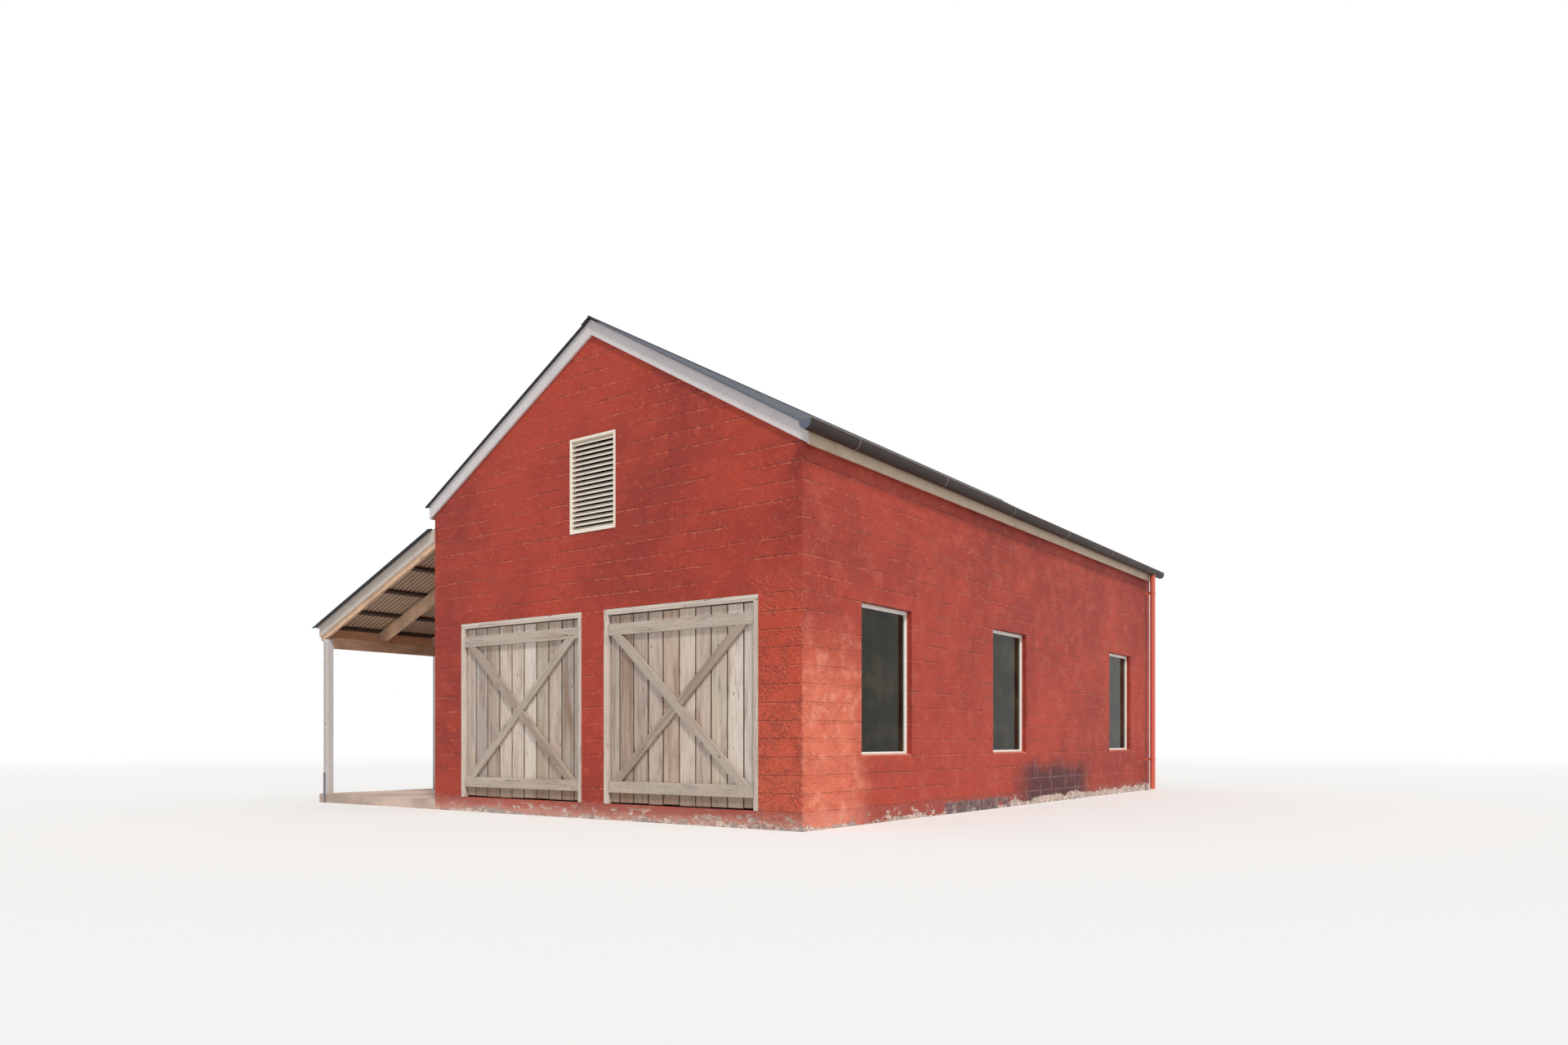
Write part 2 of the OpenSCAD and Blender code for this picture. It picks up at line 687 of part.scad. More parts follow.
module awning_sheet() color(sheet_beige) on_awning_slope() translate([sheet_start, 0, 0])
    corrugated(side_l + 2 * awning_verge, awning_tip / cos(awning_pitch) - sheet_start);

awning_barge_v = barge_d / cos(awning_pitch);

module awning_barges() color(paint_cream) on_awning() both_ends() along_y(front_y - barge_t, barge_t)
    polygon([[0, awning_z], [awning_face, awning_sheet_z(awning_face)],
        [awning_face, awning_sheet_z(awning_face) - awning_barge_v], [0, awning_z - awning_barge_v]]);

module awning_fascia() color(paint_cream) on_awning()
    translate([fascia_in, front_y, awning_rafter_z(fascia_in)])
        cube([fascia_t, side_l, awning_sheet_z(awning_face) - batten_v - awning_rafter_z(fascia_in)]);

module awning_ledger() color(paint_cream) on_awning() translate([0, front_y, awning_rafter_z(ledger_t)])
    cube([ledger_t, side_l, awning_rafter_d]);

flashing_leg = 150;
flashing_z = awning_z + wave_h / cos(awning_pitch) + seat;

module awning_flashing() color(paint_cream) on_awning() along_y(front_y, side_l) polygon([
    [0, flashing_z], [flashing_leg, flashing_z - flashing_leg * tan(awning_pitch)],
    [flashing_leg, flashing_z - flashing_leg * tan(awning_pitch) + sheet_t],
    [sheet_t, flashing_z + sheet_t], [sheet_t, flashing_z + flashing_h], [0, flashing_z + flashing_h]]);

front_plinth();
front_pier_left();
front_pier_centre();
front_pier_right();
front_gable_wall();
right_wall();
left_wall();
rear_wall();
floor_slab();
door_frames();
left_door_boards();
right_door_boards();
left_door_braces();
right_door_braces();
left_door_straps();
right_door_straps();
hinge_pins();
window_frames();
window_glass();
window_sills();
gable_vents();
roof_sheet_right();
roof_sheet_left();
ridge_cap();
ridge_board();
rafters();
purlins();
wall_plates();
barge_front();
barge_rear();
eave_fascias();
gutter();
gutter_brackets();
downpipe();
awning_slab();
awning_posts();
post_conduit();
awning_beam();
awning_rafters();
awning_battens();
awning_sheet();
awning_barges();
awning_fascia();
awning_ledger();
awning_flashing();
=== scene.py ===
"""Looks of the block barn: rough paint, weathered boards, corrugated sheets, studio and camera."""
import math
import random

import bmesh
import bpy
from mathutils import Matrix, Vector


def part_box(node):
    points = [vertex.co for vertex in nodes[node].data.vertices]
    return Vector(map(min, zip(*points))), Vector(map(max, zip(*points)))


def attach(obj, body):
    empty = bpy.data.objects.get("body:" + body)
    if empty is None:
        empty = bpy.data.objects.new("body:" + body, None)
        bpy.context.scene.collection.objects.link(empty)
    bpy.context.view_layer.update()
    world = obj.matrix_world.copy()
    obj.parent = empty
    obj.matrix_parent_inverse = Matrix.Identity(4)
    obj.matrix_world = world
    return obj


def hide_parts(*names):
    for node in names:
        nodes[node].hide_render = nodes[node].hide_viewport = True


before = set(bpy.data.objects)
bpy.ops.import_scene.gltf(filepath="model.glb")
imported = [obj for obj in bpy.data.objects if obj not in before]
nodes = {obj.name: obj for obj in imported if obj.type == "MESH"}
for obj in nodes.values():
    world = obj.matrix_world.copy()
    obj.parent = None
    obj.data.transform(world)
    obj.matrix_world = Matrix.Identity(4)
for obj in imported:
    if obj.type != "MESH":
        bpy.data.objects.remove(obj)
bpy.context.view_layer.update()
barn, left_leaf, right_leaf = "barn", "left_leaf", "right_leaf"

# Main lines of the barn, in metres, as the source has them
plinth_low, plinth_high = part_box("front_plinth")
mid_x = (plinth_low[0] + plinth_high[0]) / 2
half_w = (plinth_high[0] - plinth_low[0]) / 2
front_y = plinth_low[1]
wall_t = plinth_high[1] - plinth_low[1]
side_l = -2 * front_y
wall_right = mid_x + half_w
wall_h = 4.2
course = 0.2
block_l = 0.4

# Camera, fitted to the photograph
photo_w = 1920
focal_px = 1286.0
horizon_px = 268.0          # how far the horizon lies below the middle of the picture
eye_right, eye_front, eye_height = 6.435, 9.232, 0.972      # from the foot of the nearest corner
camera_turn = math.radians(35.895)
sensor = 36.0
far_clip = 500

camera_data = bpy.data.cameras.new("camera")
camera = bpy.data.objects.new("camera", camera_data)
bpy.context.scene.collection.objects.link(camera)
camera.location = (wall_right + eye_right, front_y - eye_front, eye_height)
camera.rotation_euler = (math.pi / 2, 0, camera_turn)
camera_data.sensor_width = sensor
camera_data.lens = focal_px / photo_w * sensor
camera_data.shift_y = horizon_px / photo_w
camera_data.clip_end = far_clip
bpy.context.scene.camera = camera
bpy.context.scene.view_settings.view_transform = "Standard"


def shade(red, green, blue):
    """A colour as a picture shows it, 0 to 255, turned into the renderer's linear values."""
    linear = [((c / 255 + 0.055) / 1.055) ** 2.4 if c > 10 else c / 255 / 12.92 for c in (red, green, blue)]
    return (*linear, 1.0)


class Value:
    """One socket of a material, so that shader sums read as plain ones."""

    def __init__(self, look, socket):
        self.look, self.socket = look, socket

    def sum(self, operation, *values):
        return self.look.node("ShaderNodeMath", {"operation": operation}, values)

    def __add__(self, other):
        return self.sum("ADD", self, other)

    def __radd__(self, other):
        return self.sum("ADD", other, self)

    def __sub__(self, other):
        return self.sum("SUBTRACT", self, other)

    def __rsub__(self, other):
        return self.sum("SUBTRACT", other, self)

    def __mul__(self, other):
        return self.sum("MULTIPLY", self, other)

    def __rmul__(self, other):
        return self.sum("MULTIPLY", other, self)

    def __truediv__(self, other):
        return self.sum("DIVIDE", self, other)

    def __rtruediv__(self, other):
        return self.sum("DIVIDE", other, self)

    def __pow__(self, other):
        return self.sum("POWER", self, other)

    def __rpow__(self, other):
        return self.sum("POWER", other, self)

    def __mod__(self, other):
        return self.sum("FLOORED_MODULO", self, other)

    def __abs__(self):
        return self.sum("ABSOLUTE", self)

    def floor(self):
        return self.sum("FLOOR", self)

    def most(self, other):
        return self.sum("MAXIMUM", self, other)

    def over(self, low, high, to_low=0.0, to_high=1.0):
        """0 below low and 1 above high, smooth between them (or the two values given)."""
        return self.look.node("ShaderNodeMapRange", {"interpolation_type": "SMOOTHSTEP"},
                              {"Value": self, "From Min": low, "From Max": high, "To Min": to_low, "To Max": to_high})

    def within(self, low, high, soft):
        """1 between low and high, fading to 0 over the soft edge."""
        return self.over(low - soft, low + soft) * self.over(high - soft, high + soft, 1.0, 0.0)


class Tree:
    """The nodes of a material or of the world."""

    def __init__(self, tree):
        self.tree = tree
        self.tree.nodes.clear()

    def node(self, kind, settings=None, values=(), out=0):
        """Adds a node with its settings, and its values or links by name or in order."""
        made = self.tree.nodes.new(kind)
        for key, setting in (settings or {}).items():
            setattr(made, key, setting)
        for key, value in values.items() if isinstance(values, dict) else enumerate(values):
            if isinstance(value, Value):
                self.tree.links.new(value.socket, made.inputs[key])
            else:
                made.inputs[key].default_value = value
        return made if out is None else Value(self, made.outputs[out])

    def parts(self, vector):
        """The three numbers of a vector."""
        split = self.node("ShaderNodeSeparateXYZ", values=(vector,), out=None)
        return [Value(self, output) for output in split.outputs]

    def seen_directly(self):
        """1 for what the camera sees, straight or in metal and glass."""
        rays = self.node("ShaderNodeLightPath", out=None)
        camera_ray, glossy_ray, clear_ray = (
            Value(self, rays.outputs[name]) for name in ("Is Camera Ray", "Is Glossy Ray", "Is Transmission Ray"))
        return camera_ray.most(glossy_ray).most(clear_ray)


class Look(Tree):
    """A procedural material."""

    def __init__(self, name):
        self.material = bpy.data.materials.new(name)
        self.material.use_nodes = True
        super().__init__(self.material.node_tree)
        self.place = self.node("ShaderNodeTexCoord", out="Object")
        self.x, self.y, self.z = self.parts(self.place)

    def mix(self, factor, first, second):
        """A colour between two others."""
        return self.node("ShaderNodeMix", {"data_type": "RGBA"}, {0: factor, 6: first, 7: second}, 2)

    def stretched(self, x=1.0, y=1.0, z=1.0):
        """The place, with each axis scaled."""
        return self.node("ShaderNodeVectorMath", {"operation": "MULTIPLY"}, (self.place, (x, y, z)))

    def joined(self, *numbers):
        return self.node("ShaderNodeCombineXYZ", values=numbers)

    def dot(self, direction):
        """How far the place lies along a direction."""
        return self.node("ShaderNodeVectorMath", {"operation": "DOT_PRODUCT"}, (self.place, direction), "Value")

    def held(self, name, out):
        """What the pieces hold for each point."""
        return self.node("ShaderNodeAttribute", {"attribute_name": name}, out=out)

    def noise(self, scale, detail=2.0, rough=0.5, place=None, bend=0.0):
        return self.node("ShaderNodeTexNoise", values={
            "Vector": place or self.place, "Scale": scale, "Detail": detail, "Roughness": rough, "Distortion": bend})

    def cells(self, scale, place=None):
        """How far the nearest of many scattered points is."""
        return self.node("ShaderNodeTexVoronoi", {"feature": "F1"},
                         {"Vector": place or self.place, "Scale": scale}, "Distance")

    def facing(self):
        """The three numbers of the direction that a face looks in."""
        return self.parts(self.node("ShaderNodeNewGeometry", out="True Normal"))

    def relief(self, height):
        """A bump from a height in metres."""
        return self.node("ShaderNodeBump", values={"Strength": 1.0, "Distance": 1.0, "Height": height})

    def coat(self, colour, rough=0.7, metallic=0.0, normal=None, **others):
        """Finishes the material with its surface."""
        values = {"Base Color": colour, "Roughness": rough, "Metallic": metallic}
        values.update({key.replace("_", " "): value for key, value in others.items()})
        if normal is not None:
            values["Normal"] = normal
        surface = self.node("ShaderNodeBsdfPrincipled", values=values)
        self.node("ShaderNodeOutputMaterial", values=(surface,), out=None)
        return self.material


def times(colour, factor):
    """A colour made darker or paler."""
    return tuple(min(1.0, part * factor) for part in colour[:3]) + (1.0,)


def wear(node_names, material):
    """Gives CAD pieces a better material."""
    for name in node_names.split():
        for place in nodes[name].material_slots:
            place.material = material


def soften(node_names, width):
    """Takes the sharpness off the edges of CAD timbers."""
    for name in node_names.split():
        edge = nodes[name].modifiers.new("worn_edges", "BEVEL")
        edge.width, edge.segments, edge.limit_method = width, 2, "ANGLE"


def painted_block():
    """Rough red paint on block walls, bleached at the corner and worn off along the foot."""
    look = Look("painted_block")
    x, y, z = look.x, look.y, look.z
    along = x + y                                   # runs along a wall, whichever way it faces
    lap = y - front_y                               # distance from the front corner
    window_side = x.over(wall_right - 0.02, wall_right - 0.005)
    door_side = y.over(front_y + 0.005, front_y + 0.02, 1.0, 0.0)
    corner_pier = door_side * x.over(wall_right - 0.66, wall_right - 0.58) * z.over(2.4, 3.0, 1.0, 0.0)
    near_corner = window_side * lap.over(0.8, 1.6, 1.0, 0.0)

    broad = look.noise(0.55, 3.0, 0.6)
    trowel = look.noise(3.2, 4.0, 0.6, look.stretched(1, 1, 1.6), 0.5)
    lumps = look.noise(12.0, 4.0, 0.62, bend=0.4)
    stipple = look.noise(42.0, 3.0, 0.62)
    grit = look.noise(160.0, 2.0, 0.6)

    # Joints between the courses, and the faint upright ones
    wander = (look.noise(2.4, 3.0) - 0.5) * 0.02 + (stipple - 0.5) * 0.004
    row = ((z + wander) / course).floor()
    from_bed = (0.5 - abs((z + wander) / course - row - 0.5)) * course
    from_upright = (0.5 - abs(((along + wander) / block_l + row * 0.5) % 1.0 - 0.5)) * block_l
    shown = look.noise(1.0, 3.0, 0.6, look.stretched(1.3, 1.3, 7.0)).over(0.38, 0.56)
    shown = shown.most(corner_pier * 0.95).most(near_corner * 0.6).most(0.15)
    broken = look.noise(1.0, 3.0, 0.65, look.stretched(9.0, 9.0, 5.0)).over(0.36, 0.52, 0.15, 1.0)
    bed = from_bed.over(0.0015, 0.0055, 1.0, 0.0) * shown * broken.most(corner_pier * 0.8)
    upright = from_upright.over(0.002, 0.006, 1.0, 0.0) * shown * broken * 0.22
    joint = bed.most(upright)
    under_bed = ((z + wander) / course - row).within(0.86, 0.965, 0.02)      # just below a bed joint
    lip = under_bed * lumps.over(0.42, 0.58) * shown

    # Strokes and squiggles of thick daub, most of them on the corner pier, each with a painted shadow below it
    stroke_places = look.noise(2.6, 2.0).over(0.46, 0.56) * (corner_pier * 0.8 + near_corner * 0.1 + 0.1)
    squiggle_places = look.noise(3.6, 2.0).over(0.52, 0.58) * (corner_pier * 0.75 + 0.25)

    def thick_daub(rise):
        """The daub as it is a little higher up."""
        up = z + rise
        slanted = look.joined((along - up) * 3.5, (along + up) * 13.0, along * 2.0)
        stroke = abs(look.noise(1.0, 1.5, 0.5, slanted, 1.1) - 0.5).over(0.015, 0.07, 1.0, 0.0)
        contour = abs(look.noise(8.0, 1.5, 0.5, look.joined(x, y, up * 1.5), 1.6) - 0.5)
        return (stroke * stroke_places).most(contour.over(0.008, 0.036, 1.0, 0.0) * squiggle_places)

    daub = thick_daub(0.0)
    # Painted shadow: darker just below each ridge of daub
    daub_painted_shadow = (thick_daub(0.014) - daub).most(0.0)
    height = (trowel * 0.014 + lumps * 0.011 + stipple * (corner_pier * 0.008 + 0.008) + grit * 0.0005
              + daub * 0.013 + lip * 0.007 - joint * 0.010)

    red = look.mix(broad.over(0.36, 0.64), front_dark, front_red)
    red = look.mix(trowel.over(0.46, 0.72) * 0.35, red, worn_red)
    red = look.mix(window_side * broad.over(0.3, 0.6) * 0.3, red, side_red)
    red = look.mix(corner_pier * 0.65, red, pier_red)
    # Paler near the corner: faded paint low on the pier, and on the window wall faded paint and painted sunlight
    bleach_and_sunlight = near_corner * z.over(1.3, 2.5, 1.0, 0.0) + corner_pier * z.over(0.3, 2.2, 0.4, 0.05)
    red = look.mix(bleach_and_sunlight * trowel.over(0.25, 0.7, 0.55, 0.95), red, bleached_and_sunlit_red)
    red = look.mix(lumps.over(0.5, 0.74) * (corner_pier * 0.2 + 0.3), red, shade(216, 108, 82))
    # Painted shade: darker in the stipple's hollows
    red = look.mix(stipple.over(0.32, 0.46, 1.0, 0.0) * (corner_pier * 0.35 + 0.3), red, shade(112, 34, 26))
    red = look.mix(joint * (0.7 - near_corner * 0.25), red, shade(84, 28, 24))
    # Painted highlight on the lips under the bed joints and on the daub's ridges
    red = look.mix(lip.most(daub * 0.8) * 0.5, red, shade(226, 108, 80))
    # Painted shadow under the daub's ridges
    red = look.mix(daub_painted_shadow * 0.6, red, shade(104, 34, 26))
    fleck = from_bed.over(0.004, 0.02, 1.0, 0.0) * stipple.over(0.58, 0.66) * shown
    red = look.mix(fleck * 0.5, red, shade(230, 150, 124))
    # Pale clouds near the corner: faded paint and painted sunlight
    clouds = look.noise(4.0, 4.0, 0.62, look.stretched(1.0, 1.0, 1.4)).over(0.48, 0.74)
    clouds = clouds * (near_corner * z.over(1.5, 2.5, 0.55, 0.0) + window_side * 0.1)
    red = look.mix(clouds, red, shade(240, 158, 132))

    # Chips and rubbed places where the pale undercoat shows
    chips = look.cells(11.0).over(0.04, 0.075, 1.0, 0.0) * look.noise(1.7, 3.0, 0.6).over(0.56, 0.64)
    chips = chips * z.over(2.0, 3.2, 0.35, 1.0)
    scuff = look.noise(15.0, 4.0, 0.7, bend=0.5).over(0.66, 0.71) * look.noise(1.2, 2.0).over(0.5, 0.62)
    red = look.mix(chips.most(scuff * 0.45), red, shade(226, 186, 170))

    # Paint that has come off along the foot of the walls
    speck = look.noise(24.0, 4.0, 0.65)
    ragged = look.noise(4.0, 4.0, 0.62) * 0.20 + speck * 0.07
    far_end = window_side * lap.over(5.0, 6.6)
    foot_line = far_end * 0.075 + look.noise(0.9, 2.0).over(0.4, 0.6, 0.0, 0.04) + 0.15
    lifted = (z + ragged - foot_line).over(-0.006, 0.006, 1.0, 0.0)
    patches = look.noise(6.5, 5.0, 0.7, look.stretched(0.7, 0.7, 1.6)).over(0.535, 0.58)
    patches = patches * (z + speck * 0.1).over(0.17, 0.24, 1.0, 0.0) * (1.0 - near_corner * 0.7)
    worn_foot = (z + look.noise(5.0, 3.0) * 0.1).over(0.2, 0.3, 1.0, 0.0)
    foot_red = look.mix(window_side, shade(176, 112, 98), shade(146, 72, 62))
    # Paler foot near the corner: faded paint and painted sunlight
    foot_red = look.mix(near_corner, foot_red, shade(222, 138, 116))
    red = look.mix(worn_foot * 0.55, red, foot_red)
    bloom = door_side * (z + speck * 0.06 + look.noise(3.0, 3.0, 0.6) * 0.12).over(0.12, 0.24, 1.0, 0.0)
    red = look.mix(bloom * 0.55, red, shade(216, 170, 154))
    undercoat = look.mix(speck.over(0.36, 0.62), shade(160, 124, 114), shade(226, 206, 194))
    undercoat = look.mix(look.noise(5.0, 3.0).over(0.48, 0.62) * 0.75, undercoat, shade(158, 150, 144))
    bare = lifted.most(patches * 0.9)
    paint = look.mix(bare, red, undercoat)

    # Grey blocks, and the dark damp patch between the far windows
    grey_top = (z + look.noise(5.0, 4.0) * 0.06).over(0.17, 0.20, 1.0, 0.0)
    grey = window_side * grey_top * lap.within(3.3, 5.6, 0.12) * look.noise(1.7, 3.0, 0.6).over(0.38, 0.5)
    block_grey = look.mix(speck.over(0.4, 0.6), shade(78, 60, 62), shade(118, 98, 96))
    white_spots = look.noise(7.0, 4.0, 0.66).over(0.55, 0.6)
    paint = look.mix(grey * 0.92, paint, look.mix(white_spots * 0.5, block_grey, shade(190, 172, 166)))
    damp_edge = (z + look.noise(1.6, 4.0, 0.6) * 0.6).over(0.74, 1.06, 1.0, 0.0)
    damp = window_side * lap.within(5.9, 8.6, 0.45) * damp_edge * (1.0 - lifted)
    paint = look.mix(damp * speck.over(0.3, 0.65, 0.97, 0.85), paint, shade(62, 26, 31))
    rubbed = look.noise(1.0, 3.0, 0.6, look.stretched(9.0, 9.0, 2.0)).over(0.52, 0.7)
    paint = look.mix(damp * (rubbed * 0.35).most(from_bed.over(0.004, 0.012, 1.0, 0.0) * 0.45 * broken),
                     paint, shade(176, 132, 126))

    # Bare blocks inside
    inside = abs(x - mid_x).over(half_w - wall_t + 0.01, half_w - wall_t + 0.02, 1.0, 0.0)
    inside = inside * abs(y).over(side_l / 2 - wall_t + 0.01, side_l / 2 - wall_t + 0.02, 1.0, 0.0)
    paint = look.mix(inside, paint, look.mix(joint, shade(150, 144, 134), shade(108, 102, 94)))
    height = height - bare * 0.002
    return look.coat(paint, lumps.over(0.3, 0.7, 0.62, 0.84), normal=look.relief(height))


def grained(look, colour, u, v, w, worn, foot=None):
    """Colour and height of weathered timber; u runs along the grain, v and w across it."""
    fine = look.noise(1.0, 3.0, 0.6, look.joined(u * 3.0, v * 150.0, w * 150.0))
    bands = look.noise(1.0, 3.0, 0.55, look.joined(u * 0.8, v * 17.0, w * 17.0), 0.3)
    stain = look.noise(1.0, 3.0, 0.6, look.joined(u * 1.1, v * 6.0, w * 6.0))
    dried = look.noise(1.0, 2.0, 0.5, look.joined(u * 1.1, v * 46.0, w * 46.0), 0.2)
    here_and_there = look.noise(1.0, 2.0, 0.5, look.joined(u * 3.0, v * 9.0, w * 9.0)).over(0.5, 0.6)
    split = abs(dried - 0.5).over(0.004, 0.014, 1.0, 0.0) * here_and_there
    knot = look.cells(1.0, look.joined(u * 2.2, v * 5.5, w * 5.5)).over(0.045, 0.075, 1.0, 0.0)
    colour = look.mix(bands.over(0.36, 0.62) * worn * 0.6, colour, shade(222, 210, 194))
    colour = look.mix(stain.over(0.52, 0.72) * worn, colour, shade(142, 108, 80))
    colour = look.mix(stain.over(0.28, 0.42, 1.0, 0.0) * worn * 0.5, colour, shade(118, 112, 96))
    colour = look.mix(fine.over(0.46, 0.7) * 0.32, colour, shade(96, 80, 66))
    # Painted shadow of the foot rail: darker brown below it
    if foot is not None:
        colour = look.mix(foot * 0.6, colour, shade(134, 104, 80))
    colour = look.mix(split * 0.75, colour, shade(54, 44, 36))
    colour = look.mix(knot * 0.65, colour, shade(78, 58, 44))
    return colour, fine * 0.0006 + bands * 0.0012 - split * 0.0016 - knot * 0.0006


def board_timber(name, worn=0.55, foot_z=None):
    """For added boards, which hold their own grain and colour."""
    look = Look(name)
    u, v, w = look.parts(look.held("grain", "Vector"))
    foot = None if foot_z is None else u.over(foot_z - 0.03, foot_z + 0.02, 1.0, 0.0)
    colour, height = grained(look, look.held("tint", "Color"), u, v, w, worn, foot)
    return look.coat(colour, 0.84, normal=look.relief(height))


def timber(name, along, base, worn=0.2):
    """For CAD timbers, with the grain along one direction."""
    look = Look(name)
    first = Vector(along).normalized()
    second = first.orthogonal().normalized()
    u, v, w = (look.dot(direction) for direction in (first, second, first.cross(second)))
    colour = look.mix(look.noise(2.4, 3.0, 0.6).over(0.35, 0.65), times(base, 0.82), times(base, 1.12))
    colour, height = grained(look, colour, u, v, w, worn)
    return look.coat(colour, 0.84, normal=look.relief(height))


def painted_timber(name, base, grime, dirty=0.3):
    """Brushed paint with dirt, smears and small spots."""
    look = Look(name)
    dirt = look.noise(2.3, 4.0, 0.65).over(0.45, 0.75)
    smear = look.noise(9.0, 4.0, 0.65, bend=0.5).over(0.5, 0.75)
    spots = look.cells(26.0).over(0.04, 0.09, 1.0, 0.0) * look.noise(3.0, 2.0).over(0.55, 0.65)
    colour = look.mix(dirt * dirty + smear * dirty * 0.7, base, grime)
    colour = look.mix(spots * dirty, colour, times(grime, 0.6))
    brush = look.noise(90.0, 3.0, 0.6)
    return look.coat(colour, dirt * 0.15 + 0.5, normal=look.relief(brush * 0.0003 + smear * 0.0004))


def sheet_metal(name, top, under, wave_start):
    """Corrugated sheet; from below it has a colour of its own, darker up in the waves as painted shade, and past the
    gables' boards the top's dark colour as painted shadow.
    """
    look = Look(name)
    up = look.facing()[2].over(-0.4, -0.3)          # sides and edges look like the top
    recess = abs((look.y / wave_p + wave_start) % 1.0 - 0.5).over(0.12, 0.32, 1.0, 0.0)     # up in the waves
    weather = look.noise(1.3, 4.0, 0.6).over(0.4, 0.8)
    dust = look.noise(22.0, 4.0, 0.65).over(0.5, 0.75)
    above = look.mix(weather * 0.35, top, times(top, 1.5))
    above = look.mix(dust * 0.2, above, shade(120, 118, 116))
    below = look.mix(weather * 0.35, under, times(under, 0.72))
    below = look.mix(dust * 0.2, below, times(under, 0.6))
    # Painted shade up in the waves underneath
    below = look.mix(recess * 0.65, below, times(under, 0.26))
    # Painted shadow: past the gables' boards the underside takes the top's dark colour
    barge_face = side_l / 2 + barge_t
    past_barge = abs(look.y).over(barge_face - 0.002, barge_face + 0.002)
    return look.coat(look.mix(up.most(past_barge), below, above), weather * 0.2 + 0.5,
                     normal=look.relief(weather * 0.0004 + dust * 0.0002))


def plain_metal(name, base, rough, metallic=0.0, spots=0.2):
    """Painted or bare metal, dulled in places."""
    look = Look(name)
    dull = look.noise(8.0, 4.0, 0.6).over(0.4, 0.8)
    colour = look.mix(dull * spots, base, times(base, 0.6))
    return look.coat(colour, dull * 0.15 + rough, metallic, look.relief(look.noise(40.0, 2.0) * 0.0002))


def gutter_look():
    """Bronze, with blue-grey end caps and a painted highlight along the rolled edge."""
    look = Look("gutter_metal")
    dull = look.noise(5.0, 4.0, 0.62).over(0.4, 0.8)
    colour = look.mix(dull * 0.4, shade(40, 28, 22), shade(68, 51, 42))
    cap = abs(look.facing()[1]).over(0.6, 0.8)
    colour = look.mix(cap, colour, shade(92, 100, 116))
    # Painted highlight along the rolled top edge
    colour = look.mix(look.z.over(gutter_top - 0.010, gutter_top - 0.006) * 0.6, colour, shade(176, 162, 150))
    return look.coat(colour, dull * 0.15 + 0.5, normal=look.relief(look.noise(30.0, 3.0) * 0.0003),
                     Specular_IOR_Level=0.3)


def conduit_look():
    """Painted over with the post, above a bare grey sleeve."""
    look = Look("conduit_paint")
    dirt = look.noise(6.0, 4.0, 0.65).over(0.45, 0.75)
    sleeve = look.z.over(sleeve_top - 0.002, sleeve_top + 0.002, 1.0, 0.0)
    colour = look.mix(dirt * 0.4, shade(192, 188, 186), shade(140, 132, 126))
    colour = look.mix(sleeve, colour, look.mix(dirt * 0.5, shade(122, 124, 132), shade(86, 88, 96)))
    return look.coat(colour, dirt * 0.1 + 0.5, normal=look.relief(look.noise(60.0, 2.0) * 0.0002))


def concrete():
    """Stained floor slabs with small pits."""
    look = Look("concrete")
    stain = look.noise(1.1, 4.0, 0.6).over(0.35, 0.7)
    colour = look.mix(stain, shade(214, 190, 176), shade(172, 152, 140))
    colour = look.mix(look.noise(45.0, 3.0, 0.7).over(0.55, 0.7) * 0.4, colour, shade(124, 112, 104))
    pits = look.cells(55.0).over(0.1, 0.3)
    return look.coat(colour, 0.85, normal=look.relief(pits * 0.0006 + look.noise(12.0, 4.0) * 0.002))


def dark_glass():
    """Panes tinted dark olive as painted shade of the room behind them and painted reflection, with some haze."""
    look = Look("dark_glass")
    haze = look.noise(2.0, 3.0, 0.6).over(0.4, 0.75)
    # Dark olive tint: painted shade and painted reflection
    colour = look.mix(haze, shade(28, 27, 16), shade(66, 60, 42))
    return look.coat(colour, haze * 0.03 + 0.02, Alpha=0.75, Specular_IOR_Level=0.2)


# Reds of the walls
front_red, front_dark, worn_red = shade(172, 54, 34), shade(144, 40, 26), shade(190, 70, 46)
# The palest red is faded paint and painted sunlight
side_red, pier_red, bleached_and_sunlit_red = shade(174, 64, 44), shade(204, 72, 44), shade(226, 120, 90)
gutter_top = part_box("gutter")[1][2]
sleeve_top = 0.48
barge_t = 0.03
wave_p, wave_h, sheet_t = 0.076, 0.017, 0.003
wave_low = 0.1                          # where the low lies on the first wave, as a share of the wave
roof_verge, awning_verge = 0.075, 0.11
roof_l, awning_l = side_l + 2 * roof_verge, side_l + 2 * awning_verge     # lengths of the sheets along the building
# Where on a wave the middle of the building falls, so that the lows come out at whole numbers
roof_wave_start, awning_wave_start = (int(length / wave_p) / 2 - wave_low for length in (roof_l, awning_l))

lengthwise = (0.0, 1.0, 0.0)
up_rafter, up_awning_rafter = (0.866, 0.0, 0.5), (0.927, 0.0, 0.375)

paint = painted_block()
door_timber = board_timber("weathered_boards", foot_z=0.36)      # darker brown below the foot rail: painted shadow of the rail
# Painted shade for the sides of the boards deep in their joints
joint_painted_shade = plain_metal("joint_painted_shade", shade(44, 36, 30), 0.9)
rail_timber = board_timber("weathered_rails", worn=0.35)
rough_sawn = timber("rough_sawn", lengthwise, shade(176, 148, 116))
rafter_wood = timber("rafter_wood", up_rafter, shade(178, 150, 118))
